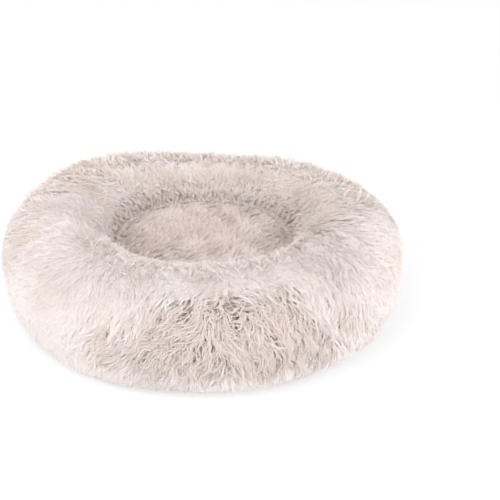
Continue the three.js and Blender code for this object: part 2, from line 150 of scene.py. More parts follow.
# Tufts of each kind: lengths and bends as ranges, how far a tuft's strands stand apart at its root, and their
# width, usual tone, and the strength and seed of the noise in it
TUFTS = {
    # The seam's and the cushion edge's tufts are toned darker and warmer than the ring's pile, as painted
    # shade in the seam
    "seam_tufts": ((9 * MM, 17 * MM), (1.3, 1.9), 3 * MM, 0.85 * MM, 0.42, 0.1, 72),
    "cushion_tufts": ((7 * MM, 13 * MM), (0.8, 1.5), 3 * MM, 0.9 * MM, 0.42, 0.1, 73),
    "rim_tufts": ((10 * MM, 19 * MM), (1.0, 1.6), 4 * MM, 0.7 * MM, 0.52, 0.12, 82),
}

# The curly patch on the front, as its middle and half width round the bed and up the section, in degrees
CURLS_TURN = 276
CURLS_HALF_TURN = 24  # at its top
CURLS_SPREAD = 14  # how much wider it is at its foot
CURLS_TOP = 78
CURLS_FOOT = -27
WHORL = (277, 60)
WHORL_REACH = 50 * MM
WHORL_TURN = 0.95
WHORL_SHAG = 32 * MM  # how far out its locks cross each other
SWEEP = 1.25

# Small hollows in the pile, as a turn and an angle in degrees
HOLLOWS = [(267.2, -10.9), (271.6, 7.4), (287.5, 5.6), (132.6, 144), (105.9, 162), (89.4, 160), (120, 156)]
HOLLOW_REACH = 6 * MM

# Patches of the ring's pile round the bed, each as a middle and a half width in degrees. A third number
# sharpens the edge
LEFT_FLANK = (200, 55, 4)
LEFT_WALL = (188, 34, 4)  # the well's, where the pile lies smooth
NEAR_SIDE = (262, 48, 4)  # the side nearest to the camera, smooth on its crest
FAR_SIDE = (95, 88, 6)
# The crease at the well's left end, browned as painted shade
CREASE = (168, 26)
SWEPT_TURN = (222, 34)
# The upper left crest, round the bed, whose pile is darkened as painted shade
CREST_SHADE_TURN = (165, 35)

# The same up the section
CREST = (85, 30)
TUFTED_CREST = (80, 32)
FRINGE = (122, 26)
SWEPT_ANGLE = (14.3239449, 48.7014126)
# The upper left crest, up the section, whose pile is darkened as painted shade
CREST_SHADE_ANGLE = (91.6732472, 20.0535228)

# Base and zip
TEETH_HALF_WIDTH = 4.05 * MM
CLOTH_INSET = 1.2 * MM
CLOTH_STATIONS = 160
CLOTH_COLUMNS = 56
GRIP_RADIUS = 4 * MM
GRIP_HEIGHT = 1 * MM
GRIP_ROOT = 0.5 * MM
GRIP_SIDES = 28
GRIP_LEVELS = 7
STITCH_LENGTH = 2.6 * MM
STITCH_GAP = 1.0 * MM
STITCH_WIDTH = 0.5 * MM
STITCH_INSET = 2.2 * MM
STITCH_SIDES = 6
STITCH_RINGS = 6
STITCH_END = 1.5 * MM  # how near a row's ends come to the middle line

# Colours as seen on screen, from 0 to 255. The fur's run across its palette, first the shaggy pile's
BLACK = (0, 0, 0)
WHITE = (255, 255, 255)
TIP_COLOURS = {
    0.0: (188, 170, 160), 0.17: (210, 194, 185), 0.34: (233, 221, 215), 0.49: (218, 206, 201),
    0.51: (208, 192, 183), 0.66: (233, 219, 211), 0.84: (241, 234, 232), 1.0: (240, 235, 236),
}
# Roots run darker and browner than the tips, most in the shaggy pile: partly the pile's own colour, partly
# painted shade deep in the pile
ROOT_COLOURS = {
    0.0: (152, 129, 116), 0.25: (178, 157, 146), 0.49: (184, 166, 157),
    0.51: (210, 195, 186), 0.75: (236, 226, 221), 1.0: (240, 233, 232),
}


# Small helpers

def smoothstep(low, high, value):
    t = np.clip((value - low) / (high - low), 0, 1)
    return t * t * (3 - 2 * t)


def rising(low, high, angle):
    """From 0 at one angle in degrees to 1 at another, smoothly."""
    return smoothstep(math.radians(low), math.radians(high), angle)


def turned(degrees_from, angle):
    """How far an angle lies from a direction given in degrees, from -pi to pi."""
    return (angle - math.radians(degrees_from) + math.pi) % TURN - math.pi


def fading(off, reach, power=2):
    """1 where nothing is off, falling away over a reach."""
    return np.exp(-(off / reach) ** power)


def bell(angle, middle, half, power=2):
    """1 at a patch's middle, falling away over its half width."""
    return fading(turned(middle, angle), np.radians(half), power)


def weighted(weights, **fields):
    """The weight that holds for all, and the fields, each times the weight of its name."""
    return weights["all"] + sum(weights[name] * field for name, field in fields.items())


def unit(vectors):
    return vectors / np.maximum(np.linalg.norm(vectors, axis=-1, keepdims=True), 1e-12)


def outward(turn):
    return np.stack([np.cos(turn), np.sin(turn), np.zeros(len(turn))], -1)


def around(turn):
    return np.stack([-np.sin(turn), np.cos(turn), np.zeros(len(turn))], -1)


def bisected(near, far, holds):
    """The place where a test begins to hold, between one where it doesn't and one where it does."""
    for _ in range(20):
        middle = (near + far) / 2
        if holds(middle):
            far = middle
        else:
            near = middle
    return far


def solid_tree(node):
    return BVHTree.FromObject(bpy.data.objects[node], bpy.context.evaluated_depsgraph_get())


class Noise:
    """Smooth noise of about unit size, made of waves in random directions."""

    def __init__(self, wavelength, seed, waves=14):
        rng = np.random.default_rng(SEED + seed)
        direction = rng.normal(size=(waves, 3))
        direction /= np.linalg.norm(direction, axis=1)[:, None]
        stretch = rng.uniform(0.7, 1.4, waves)
        self.k = direction * (TURN / wavelength * stretch)[:, None]
        self.phase = rng.uniform(0, TURN, waves)
        self.scale = math.sqrt(2 / waves)

    def __call__(self, points):
        return np.sin(points @ self.k.T + self.phase).sum(-1) * self.scale


# Materials

def screen_colour(colour):
    """A colour picked on screen, from 0 to 255, as the shader wants it."""
    shares = [value / 255 for value in colour]
    return [s / 12.92 if s <= 0.04045 else ((s + 0.055) / 1.055) ** 2.4 for s in shares] + [1]


class Tree:
    """A material's or the world's nodes. A value given to a node may be another node's output."""

    def __init__(self, owner):
        owner.use_nodes = True
        self.nodes = owner.node_tree.nodes
        self.link = owner.node_tree.links.new

    def feed(self, socket, value):
        if isinstance(value, bpy.types.NodeSocket):
            self.link(value, socket)
        elif socket.type == "RGBA":
            socket.default_value = screen_colour(value)
        else:
            socket.default_value = value

    def give(self, node, **values):
        """Sets a node's own settings, named in lower case, and its inputs, named with a capital."""
        for name, value in values.items():
            if name.islower():
                setattr(node, name, value)
            else:
                self.feed(node.inputs[name.replace("_", " ")], value)
        return node.outputs

    def add(self, kind, *inputs, **values):
        """Adds a node, with its first inputs in their order."""
        node = self.nodes.new("ShaderNode" + kind)
        for socket, value in zip(node.inputs, inputs):
            self.feed(socket, value)
        return self.give(node, **values)

    def paint(self, **values):
        self.give(self.nodes["Principled BSDF"], **values)

    def maths(self, operation, *values):
        return self.add("Math", *values, operation=operation)["Value"]

    def mix(self, factor, first, second):
        return self.add("Mix", data_type="RGBA", Factor=factor, A=first, B=second)["Result"]

    def ramp(self, factor, stops):
        node = self.nodes.new("ShaderNodeValToRGB")
        elements = node.color_ramp.elements
        while len(elements) < len(stops):
            elements.new(0.5)
        for element, (place, colour) in zip(elements, stops.items()):
            element.position = place
            element.color = screen_colour(colour)
        return self.give(node, Fac=factor)["Color"]

    def texture(self, kind, output="Fac", **values):
        """A texture laid out in the part's own coordinates."""
        if "Vector" not in values:
            values["Vector"] = self.add("TexCoord")["Object"]
        return self.add("Tex" + kind, **values)[output]

    def bump(self, height, strength, distance):
        self.paint(Normal=self.add("Bump", Height=height, Strength=strength, Distance=distance)["Normal"])

    def gloss(self, factor, low, high):
        """Lets the roughness vary between two values."""
        self.paint(Roughness=self.add("MapRange", Value=factor, To_Min=low, To_Max=high)["Result"])

    def weave(self, pitch, strength):
        """Relief of a plain weave, with threads along X and Y. Returns how high the threads are."""
        scale = 1 / pitch / 3.2  # a wave texture has about 3.2 bands to the metre at a scale of 1
        threads = [self.texture("Wave", bands_direction=way, Scale=scale, Distortion=0.6, Detail=1)
                   for way in ("X", "Y")]
        crossed = self.maths("MULTIPLY", *threads)
        self.bump(crossed, strength, pitch / 2)
        return crossed

    def seen(self):
        """1 where the camera sees it, also by way of metal or glass, and 0 for the light that it gives."""
        ways = self.add("LightPath")
        direct = self.maths("MAXIMUM", ways["Is Camera Ray"], ways["Is Glossy Ray"])
        return self.maths("MAXIMUM", direct, ways["Is Transmission Ray"])

    def blend(self, share, first, second, output):
        """Sends two shaders to the output, the second by a share."""
        mixed = self.add("MixShader", share, first, second)["Shader"]
        self.link(mixed, self.nodes[output].inputs["Surface"])


def new_material(name, colour, roughness, **more):
    material = bpy.data.materials.new(name)
    tree = Tree(material)
    tree.paint(Base_Color=colour, Roughness=roughness, **more)
    return material, tree


def fur_material():
    """Colour by strand across the palette, and from root to tip up it."""
    material, tree = new_material("plush_pile", (236, 226, 221), 0.85, Sheen_Weight=0.42, Sheen_Roughness=0.5,
                                  Specular_IOR_Level=0.2)
    place = tree.add("SeparateXYZ", Vector=tree.add("UVMap", uv_map="OFBake")["UV"])
    # Darker towards the roots: partly the pile's own colour, partly painted shade deep in the pile
    up = tree.ramp(place["Y"], {0.08: BLACK, 0.62: WHITE})
    roots = tree.ramp(place["X"], ROOT_COLOURS)
    tips = tree.ramp(place["X"], TIP_COLOURS)
    tree.paint(Base_Color=tree.mix(up, roots, tips))
    return material


def undercoat_material():
    """The short down below the strands, browner where the pile is shaggy: partly its own colour, partly
    painted shade deep in the pile.
    """
    material, tree = new_material("plush_undercoat", (226, 211, 203), 0.95)
    fine = tree.texture("Noise", Scale=700, Detail=2)
    smooth = tree.ramp(fine, {0.3: (216, 204, 197), 0.7: (234, 224, 219)})
    shaggy = tree.ramp(fine, {0.3: (168, 146, 134), 0.7: (210, 192, 181)})
    shag = tree.add("Attribute", attribute_name="shag")["Fac"]
    tree.paint(Base_Color=tree.mix(shag, smooth, shaggy))
    tree.bump(fine, 0.5, MM)
    return material


def base_cloth_material():
    material, tree = new_material("base_cloth", (196, 188, 180), 0.8, Sheen_Weight=0.15)
    threads = tree.weave(0.9 * MM, 0.5)
    cloudy = tree.texture("Noise", Scale=14, Detail=3)
    dark = tree.ramp(cloudy, {0.3: (184, 174, 166), 0.7: (196, 186, 178)})
    tree.paint(Base_Color=tree.mix(threads, dark, (214, 206, 198)))
    return material


def tape_material():
    """Woven tape, and the smooth moulded teeth along its edge."""
    material, tree = new_material("zip_tape", (206, 197, 188), 0.75)
    tape = tree.ramp(tree.weave(0.5 * MM, 0.6), {0: (184, 174, 164), 1: (212, 203, 194)})
    across = tree.add("SeparateXYZ", Vector=tree.add("TexCoord")["Object"])["Y"]
    tooth = tree.maths("LESS_THAN", tree.maths("ABSOLUTE", across), TEETH_HALF_WIDTH)
    tree.paint(Base_Color=tree.mix(tooth, tape, (228, 221, 213)))
    tree.gloss(tooth, 0.78, 0.35)
    return material


def nickel_material():
    """Plated metal with fine rubbed marks."""
    material, tree = new_material("nickel", (198, 194, 188), 0.3, Metallic=1)
    stretched = tree.add("Mapping", Scale=(300, 3000, 3000), Vector=tree.add("TexCoord")["Object"])["Vector"]
    marks = tree.texture("Noise", Scale=1, Detail=3, Vector=stretched)
    tree.gloss(marks, 0.2, 0.42)
    tree.bump(marks, 0.08, 0.1 * MM)
    return material


def plain_material(name, colour, roughness, stops, relief=None, gloss=None, **texture):
    """A material whose colour, and relief or gloss, follow one texture."""
    material, tree = new_material(name, colour, roughness)
    height = tree.texture(**texture)
    tree.paint(Base_Color=tree.ramp(height, stops))
    if relief:
        tree.bump(height, *relief)
    if gloss:
        tree.gloss(height, *gloss)
    return material


FUR = fur_material()
UNDERCOAT_CLOTH = undercoat_material()
BASE_CLOTH = base_cloth_material()
TAPE = tape_material()
NICKEL = nickel_material()
GRIP_RUBBER = plain_material(
    "grip_rubber", (232, 229, 222), 0.5, {0.3: (222, 218, 210), 0.7: (238, 236, 230)}, gloss=(0.38, 0.6),
    kind="Noise", Scale=900, Detail=2)
THREAD = plain_material(
    "thread", (222, 214, 206), 0.6, {0: (204, 195, 186), 1: (230, 223, 216)}, relief=(0.4, 0.1 * MM),
    kind="Wave", bands_direction="DIAGONAL", Scale=900)
LINING = plain_material(
    "nonwoven", (234, 232, 228), 0.9, {0.1: (212, 210, 205), 0.35: (240, 238, 235)}, relief=(0.4, 0.3 * MM),
    kind="Voronoi", output="Distance", Scale=700, Randomness=0.15)
FIBRE = plain_material(
    "fibre", (244, 243, 240), 1, {0.35: (222, 221, 218), 0.6: (248, 247, 245)}, relief=(1, 2 * MM),
    kind="Noise", Scale=160, Detail=6, Distortion=2.5)

# The CAD nodes whose shape is right keep it, and get these materials
for material, nodes in (
    (LINING, ("rim_liner", "cushion_liner")),
    (FIBRE, ("rim_fill", "cushion_fill")),
    (TAPE, ("zip_tape_front", "zip_tape_rear")),
    (NICKEL, ("zip_closed_stop_front", "zip_closed_stop_rear", "zip_open_stop", "zip_slider", "zip_pull")),
):
    for node in nodes:
        for slot in bpy.data.objects[node].material_slots:
            slot.material = material


# Plush surfaces

def interpolated(grid, i0, i1, j0, a, b):
    """A grid's value at shares a and b of the way between two rows and two columns."""
    return ((grid[i0, j0] * (1 - a) + grid[i1, j0] * a) * (1 - b)
            + (grid[i0, j0 + 1] * (1 - a) + grid[i1, j0 + 1] * a) * b)


def softened(grid):
    """Rounds a grid off along its first axis, but for both ends."""
    return np.concatenate([grid[:1], (grid[:-2] + 2 * grid[1:-1] + grid[2:]) / 4, grid[-1:]])


class RingPile:
    """The ring's pile, from 0 at its backing to 1 over its tips. A place is a turn and a section's angle."""

    def __init__(self):
        tree = solid_tree("rim_cover")
        inner = np.full((TURN_STEPS, SECTION_STEPS), np.nan)
        outer = inner.copy()
        for i, turn in enumerate(np.arange(TURN_STEPS) * TURN / TURN_STEPS):
            along = Vector((math.cos(turn), math.sin(turn), 0))
            middle = along * SECTION_RADIUS + Vector((0, 0, SECTION_HEIGHT))
            for j, angle in enumerate(np.linspace(FOOT_ANGLE, SEAM_ANGLE, SECTION_STEPS)):
                ray = along * math.cos(angle) + Vector((0, 0, math.sin(angle)))
                near = tree.ray_cast(middle, ray)[3]
                if near is None:
                    continue
                far = tree.ray_cast(middle + ray * (near + RAY_SKIP), ray)[3]
                if far is None:
                    continue
                inner[i, j] = near
                outer[i, j] = near + RAY_SKIP + far
        self.inner = self.smoothed(inner)
        self.outer = self.smoothed(outer)

    @staticmethod
    def smoothed(grid):
        """Fills what the rays missed, and rounds the facets off."""
        for row in grid:
            good = ~np.isnan(row)
            row[~good] = np.interp(np.flatnonzero(~good), np.flatnonzero(good), row[good])
        for _ in range(SMOOTHING * 4):
            grid = (np.roll(grid, 1, 0) + 2 * grid + np.roll(grid, -1, 0)) / 4
        for _ in range(SMOOTHING):
            grid = softened(grid.T).T
        return grid

    def reach(self, grid, turn, angle):
        i = (turn % TURN) / TURN * TURN_STEPS
        j = np.clip((angle - FOOT_ANGLE) / (SEAM_ANGLE - FOOT_ANGLE), 0, 1) * (SECTION_STEPS - 1)
        i0 = np.floor(i).astype(int) % TURN_STEPS
        j0 = np.minimum(np.floor(j).astype(int), SECTION_STEPS - 2)
        return interpolated(grid, i0, (i0 + 1) % TURN_STEPS, j0, i - np.floor(i), j - j0)

    def at(self, turn, angle, depth=0.5):
        """A point in the pile, halfway up it if no depth is given."""
        beyond = np.maximum(angle - HANG_ANGLE, 0) * (depth > HANG_DEPTH)
        angle = np.clip(np.where(beyond > 0, HANG_ANGLE, angle), FOOT_ANGLE, SEAM_ANGLE)
        near = self.reach(self.inner, turn, angle)
        far = self.reach(self.outer, turn, angle)
        out = near + (far - near) * depth
        r = SECTION_RADIUS + out * np.cos(angle) - out * beyond
        x = r * np.cos(turn)
        y = r * np.sin(turn)
        z = SECTION_HEIGHT + out * np.sin(angle)
        over = cushion.at(x, y, 1)[..., 2] + SEAM_LIFT
        z = np.where(beyond > 0, over + (z - over) * np.exp(-beyond * out / SEAM_BEND), z)
        return np.stack([x, y, np.maximum(z, FLOOR_CLEARANCE)], -1)

    def step(self, place, heading, length):
        """Moves places over the pile. Heading 0 runs outward and down, and a quarter turn round the bed."""
        turn, angle = place
        out = self.reach(self.outer, turn, np.clip(angle, FOOT_ANGLE, SEAM_ANGLE))
        radius = SECTION_RADIUS + out * np.cos(angle)
        return turn + np.sin(heading) * length / radius, angle - np.cos(heading) * length / out

    def scatter(self, count, rng, thickness):
        """Places over the surface, as thickly as a field says."""
        share = rng.random((3, count * 6))
        turn = share[0] * TURN
        angle = FOOT_ANGLE + share[1] * (SEAM_ANGLE - FOOT_ANGLE)
        out = self.reach(self.outer, turn, angle)
        chance = out * (SECTION_RADIUS + out * np.cos(angle)) * thickness(turn, angle)
        kept = np.flatnonzero(share[2] < chance / chance.max())[:count]
        return turn[kept], angle[kept]


class CushionPile:
    """The cushion's pile, like the ring's. A place is X and Y in metres."""

    def __init__(self):
        low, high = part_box("cushion_cover")
        tree = solid_tree("cushion_cover")
        self.radius = high[0]
        cells = np.linspace(-self.radius, self.radius, CUSHION_STEPS)
        inner = np.full((CUSHION_STEPS, CUSHION_STEPS), low[2])
        outer = inner.copy()
        for i, x in enumerate(cells):
            for j, y in enumerate(cells):
                shrink = min(1, self.radius * CUSHION_REACH / max(math.hypot(x, y), 1e-9))
                far = tree.ray_cast(Vector((x * shrink, y * shrink, high[2] + MM)), DOWN)[0]
                if far is None:
                    continue
                near = tree.ray_cast(far + DOWN * RAY_SKIP, DOWN)[0]
                outer[i, j] = far[2]
                inner[i, j] = near[2] if near is not None else low[2]
        for _ in range(SMOOTHING):
            inner = softened(softened(inner).T).T
            outer = softened(softened(outer).T).T
        self.inner = inner
        self.outer = outer

    def reach(self, grid, x, y):
        span = CUSHION_STEPS - 1
        i = np.clip((x / self.radius + 1) / 2, 0, 1) * span
        j = np.clip((y / self.radius + 1) / 2, 0, 1) * span
        i0 = np.minimum(np.floor(i).astype(int), span - 1)
        j0 = np.minimum(np.floor(j).astype(int), span - 1)
        return interpolated(grid, i0, i0 + 1, j0, i - i0, j - j0)

    def at(self, x, y, depth=0.5):
        r = np.hypot(x, y)
        beyond = np.maximum(r - self.radius * CUSHION_EDGE, 0)
        shrink = (r - beyond * EDGE_DRAW) / np.maximum(r, 1e-9)
        x, y = x * shrink, y * shrink
        low = self.reach(self.inner, x, y)
        high = self.reach(self.outer, x, y)
        return np.stack([x, y, low + (high - low) * depth + beyond * EDGE_RISE], -1)

    def step(self, place, heading, length):
        x, y = place
        return x + np.cos(heading) * length, y + np.sin(heading) * length

    def scatter(self, count, rng):
        r = np.sqrt(rng.random(count)) * self.radius * CUSHION_EDGE
        turn = rng.random(count) * TURN
        return r * np.cos(turn), r * np.sin(turn)


cushion = CushionPile()
ring = RingPile()
WHORL_POINT = ring.at(*np.radians(WHORL))
HOLLOW_POINTS = ring.at(*np.radians(HOLLOWS).T)


# Strands, gathered into locks that each follow a guide

def add_object(name, data):
    thing = bpy.data.objects.new(name, data)
    SCENE.collection.objects.link(thing)
    return thing


def add_piece(name, mesh, material):
    """Puts a mesh on the bed, with its material."""
    mesh.materials.append(material)
    piece = add_object(name, mesh)
    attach(piece, "bed")
    return piece


def grow(pile, roots, heading, length, sway=lambda share: 0):
    """Leads guides over the pile from their roots. Returns their places, point by point."""
    steps = GUIDE_POINTS - 1
    places = []
    place = roots
    for k in range(GUIDE_POINTS):
        ahead = heading(place, k / steps)
        places.append(pile.step(place, ahead + math.pi / 2, sway(k / steps)))
        place = pile.step(place, ahead, length / steps)
    return np.array(places)


def nearest(points, middles):
    """For each point, the number of the middle that is nearest to it."""
    tree = KDTree(len(middles))
    for number, middle in enumerate(middles):
        tree.insert(middle, number)
    tree.balance()
    return np.array([tree.find(point)[1] for point in points])


def climb(low, top, power):
    """How a strand's depth runs from low at its root to top at its tip, at first steeply."""
    return lambda share: low + (top - low) * (1 - (1 - share) ** power)


def gathered(pile, guides, which, offset, reach, pull, depth, points, flatness):
    """Strands that start off their guide and draw in towards its tip. Returns their points and ways up."""
    lines = []
    ups = []
    for k in range(points):
        share = k / (points - 1)
        along = share * reach * (GUIDE_POINTS - 1)
        low = np.minimum(along.astype(int), GUIDE_POINTS - 2)
        part = (along - low)[:, None]
        guide = guides[low, :, which] * (1 - part) + guides[low + 1, :, which] * part
        place = guide + offset * (1 - pull * (share * reach) ** 1.2)[:, None]
        level = depth(share)
        line = pile.at(place[:, 0], place[:, 1], level)
        middle = pile.at(guide[:, 0], guide[:, 1], level)
        normal = unit(pile.at(place[:, 0], place[:, 1], level + 0.1) - line)
        lines.append(line)
        ups.append(unit(normal * np.reshape(flatness, (-1, 1)) + line - middle))
    return np.stack(lines, 1), np.stack(ups, 1)


def strand_mesh(name, lines, ups, width, tone):
    """Makes flat tapered strands as one piece, mapped across the palette by tone and up it by length."""
    count, points, _ = lines.shape
    side = unit(np.cross(np.gradient(lines, axis=1), ups))
    share = np.linspace(0, 1, points)
    swelling = ROOT_WIDTH + (1 - ROOT_WIDTH) * share / FULLEST
    taper = np.where(share < FULLEST, swelling, ((1 - share) / (1 - FULLEST)) ** 0.7)
    half = width[:, None, None] * taper[None, :, None] / 2
    pairs = np.stack([lines - side * half, lines + side * half], 2)[:, :-1]
    verts = np.concatenate([pairs.reshape(count, -1, 3), lines[:, -1:]], 1)
    per = 2 * points - 1
    shift = np.arange(count)[:, None, None] * per
    quads = np.array([(2 * k, 2 * k + 1, 2 * k + 3, 2 * k + 2) for k in range(points - 2)])
    quads = (quads[None] + shift).reshape(-1, 4)
    tips = (np.array([[(per - 3, per - 2, per - 1)]]) + shift).reshape(-1, 3)
    corners = np.concatenate([quads.ravel(), tips.ravel()])
    starts = np.concatenate([np.arange(len(quads)) * 4, len(quads) * 4 + np.arange(len(tips)) * 3])
    mesh = bpy.data.meshes.new(name)
    mesh.vertices.add(count * per)
    mesh.vertices.foreach_set("co", verts.astype(np.float32).ravel())
    mesh.loops.add(len(corners))
    mesh.loops.foreach_set("vertex_index", corners.astype(np.int32))
    mesh.polygons.add(len(starts))
    mesh.polygons.foreach_set("loop_start", starts.astype(np.int32))
    mesh.update(calc_edges=True)
    mesh.polygons.foreach_set("use_smooth", np.ones(len(starts), bool))
    across = np.tile(np.array([-1, 1]) * STRAND_SHARE, points - 1)
    u = np.append(across, 0) + tone[:, None]
    v = np.append(np.repeat(share[:-1], 2), 1)
    uv = PALETTE_MARGIN + np.stack([u, np.broadcast_to(v, u.shape)], -1) * (1 - 2 * PALETTE_MARGIN)
    layer = mesh.uv_layers.new(name="OFBake")
    layer.data.foreach_set("uv", uv.reshape(-1, 2)[corners].astype(np.float32).ravel())
    add_piece(name, mesh, FUR)


def in_sectors(name, turn, lines, ups, width, tone):
    """Splits strands into pieces of like size, by their turn round the bed."""
    order = np.argsort(turn % TURN)
    parts = math.ceil(len(order) / PIECE_STRANDS)
    for k, mine in enumerate(np.array_split(order, parts)):
        strand_mesh(f"{name}_{k + 1:02d}", lines[mine], ups[mine], width[mine], tone[mine])


# Fields over the ring, from 0 to 1

def curls_at(turn, angle):
    """How much of the front's curly patch there is at a place."""
    half = CURLS_HALF_TURN + CURLS_SPREAD * rising(60, 5, angle)
    high = rising(CURLS_TOP, CURLS_TOP - 20, angle)
    low = rising(CURLS_FOOT - 12, CURLS_FOOT + 12, angle)
    return bell(turn, CURLS_TURN, half, 4) * high * low


def hollow_at(here):
    """How far into one of the pile's small hollows a point is."""
    away = np.linalg.norm(here[..., None, :] - HOLLOW_POINTS, axis=-1)
    return fading(away, HOLLOW_REACH).max(-1)


def shag_at(turn, angle):
    """How shaggy the ring's pile is: curly in front, smooth on the left and the near crest, else between."""
    here = ring.at(turn, angle)
    patches = 0.1 + 0.28 * smoothstep(0, 1.4, Noise(110 * MM, 21)(here)) * rising(140, 110, angle)
    left = bell(turn, *LEFT_FLANK) * rising(115, 75, angle)
    left = np.maximum(left, bell(turn, *LEFT_WALL) * rising(167, 155, angle))
    near_crest = bell(turn, *NEAR_SIDE) * rising(50, 75, angle)
    # The crease at the well's left end counts as partly shaggy: its pile lies deeper, and its roots and
    # undercoat turn browner as painted shade in the crease
    crease = 0.45 * bell(turn, *CREASE) * rising(158, 168, angle)
    rest = np.maximum(patches * (1 - 0.95 * np.maximum(left, near_crest)), crease)
    rest = np.maximum(rest, 0.5 * hollow_at(here))
    return np.clip(np.maximum(curls_at(turn, angle), rest), 0, 1)


def fringe_at(turn, angle):
    """The inner side of the near crest, where fine hair lies over the edge of the well."""
    return bell(turn, *NEAR_SIDE) * bell(angle, *FRINGE)


def outline_at(turn, angle):
    """Where tufts stand on the ring: the far crest, and the inner side of the near one."""
    back = bell(turn, *FAR_SIDE) * bell(angle, *TUFTED_CREST)
    back = back * (1 - bell(turn, *LEFT_WALL) * rising(60, 95, angle))
    field = back + 0.9 * fringe_at(turn, angle)
    return field * smoothstep(0.12, 0.35, field)


def root_depth(shag):
    return SMOOTH_ROOT + (SHAGGY_ROOT - SMOOTH_ROOT) * shag


def palette(shaggy, tone):
    """A place across the palette, in the shaggy pile's lower half or the smooth pile's upper half."""
    return np.where(shaggy, 0.01, 0.52) + 0.47 * np.clip(tone, 0, 1)


def strand_thickness(turn, angle):
    return 0.7 + 0.5 * curls_at(turn, angle) + 0.25 * rising(60, 120, angle)


def headed_inward(angle):
    """The chance that hair on the well's wall runs down into the well."""
    return rising(115, 155, angle)


def away_from(middle, here, place):
    """The heading that leads away from a middle, and how far off it is."""
    turn, angle = place
    off = here - middle
    down = (off * outward(turn)).sum(-1) * np.sin(angle) - off[:, 2] * np.cos(angle)
    return np.arctan2((off * around(turn)).sum(-1), down), np.linalg.norm(off, axis=-1)


# The pile itself

def ring_locks(rng):
    """Guides for the ring's locks, and what the strands of each have in common."""
    turn, angle = ring.scatter(RING_LOCKS, rng, lambda turn, angle: 0.2 + 0.8 * shag_at(turn, angle))
    count = len(turn)
    root = ring.at(turn, angle)
    broad, patch, ripple = Noise(210 * MM, 1), Noise(70 * MM, 2), Noise(24 * MM, 3)
    curls = curls_at(turn, angle)
    shag = shag_at(turn, angle)
    left_wall = bell(turn, *LEFT_WALL)
    near_crest = bell(turn, *NEAR_SIDE)
    inner = rising(100, 135, angle)
    crest = bell(angle, *CREST)
    own = rng.normal(0, 1, count) * (0.05 + 0.35 * shag + 0.35 * inner * (1 - 0.8 * left_wall))
    crossing = fading(np.linalg.norm(root - WHORL_POINT, axis=1), WHORL_SHAG)
    own = own + rng.normal(0, 0.55, count) * crossing
    to_seam = rng.random(count) < headed_inward(angle)
    combed = math.pi * to_seam - SWEEP * bell(turn, *SWEPT_TURN) * bell(angle, *SWEPT_ANGLE)

    def heading(place, share):
        here = ring.at(*place)
        way = 0.3 * broad(here) + (0.3 * patch(here) + 0.25 * ripple(here)) * (0.15 + shag) + own + combed
        out, off = away_from(WHORL_POINT, here, place)
        way = way + WHORL_TURN * fading(off, WHORL_REACH) * np.sin(out)
        for middle in HOLLOW_POINTS:
            out, off = away_from(middle, here, place)
            near = 0.35 * fading(off, 1.3 * HOLLOW_REACH)
            way = way * (1 - near) + out * near
        return way

    length = weighted(LOCK_LENGTHS, curls=curls, crest=crest, inner=inner) * MM
    length = length * rng.uniform(*LENGTH_SPREAD, count)
    wavy = np.maximum(curls, 0.35 * shag + 0.2 * inner)
    wave = rng.uniform(*WAVE_LENGTHS, count)
    phase = rng.uniform(0, TURN, count)

    def sway(share):
        return wavy * SWAY * share ** 0.6 * np.sin(share * TURN * length / wave + phase)

    guides = grow(ring, (turn, angle), heading, length, sway)
    far_crest = crest * (1 - near_crest)
    lumps = Noise(34 * MM, 6)(root) * (0.02 + 0.04 * crest) + Noise(12 * MM, 8)(root) * 0.05 * far_crest
    level = lumps + rng.normal(0, 1, count) * (0.01 + 0.06 * shag + 0.03 * far_crest) + 0.12 * to_seam
    # Tone by place: painted shade on the upper left crest and the well's inner wall, painted light low on the
    # flank, at the wall's foot, on the near crest and on the well's left wall, and the pile's own mottle
    tone = weighted(
        LOCK_TONES, grey=bell(turn, *CREST_SHADE_TURN) * bell(angle, *CREST_SHADE_ANGLE), inner=inner,
        foot=rising(138, 165, angle), low_flank=rising(50, -30, angle), mottle=Noise(85 * MM, 4)(root),
        near_crest=near_crest * crest, left_wall=left_wall * inner)
    tone = tone + rng.normal(0, 1, count) * (0.03 + 0.14 * shag)
    shaggy = rng.random(count) < shag * 1.5 - 0.3
    return SimpleNamespace(turn=turn, angle=angle, root=root, guides=guides, level=level, tone=tone,
                           shaggy=shaggy, wavy=wavy, to_seam=to_seam)


def ring_pile():
    rng = np.random.default_rng(SEED)
    locks = ring_locks(rng)
    start = ring.scatter(RING_STRANDS, rng, strand_thickness)
    count = len(start[0])
    spot = ring.at(*start)
    inbound = rng.random(count) < headed_inward(start[1])
    which = np.empty(count, int)
    for mine, theirs in ((inbound, locks.to_seam), (~inbound, ~locks.to_seam)):
        which[mine] = np.flatnonzero(theirs)[nearest(spot[mine], locks.root[theirs])]
    offset = np.stack([turned(0, start[0] - locks.turn[which]), start[1] - locks.angle[which]], -1)
    shag = shag_at(*start)
    edge = np.clip(np.linalg.norm(spot - locks.root[which], axis=1) / (5 * MM), 0, 1)
    low = root_depth(shag) - 0.04 - 0.06 * shag
    top = 1 + locks.level[which] - 0.1 * shag * edge + rng.normal(0, 0.015 + 0.02 * shag, count)
    top = np.clip(top, *HAIR_TOP)
    reach = rng.uniform(*REACH_SPREAD, count) * (1 - 0.15 * edge)
    pull = 0.03 + 0.87 * smoothstep(0.12, 0.7, shag)
    width = (0.64 + 0.26 * shag) * MM * rng.uniform(*WIDTH_SPREAD, count)
    tone = palette(locks.shaggy[which], locks.tone[which] + rng.normal(0, 1, count) * (0.04 + 0.08 * shag))
    flatness = (2 + 80 * (1 - np.minimum(shag * 1.2, 1)) ** 2) * MM
    waving = locks.wavy[which] >= WAVY
    for name, mine, points in (("rim_pile", ~waving, STRAND_POINTS), ("rim_curls", waving, CURL_POINTS)):
        lines, ups = gathered(ring, locks.guides, which[mine], offset[mine], reach[mine], pull[mine],
                              climb(low[mine], top[mine], 2.2), points, flatness[mine])
        in_sectors(name, start[0][mine], lines, ups, width[mine], tone[mine])


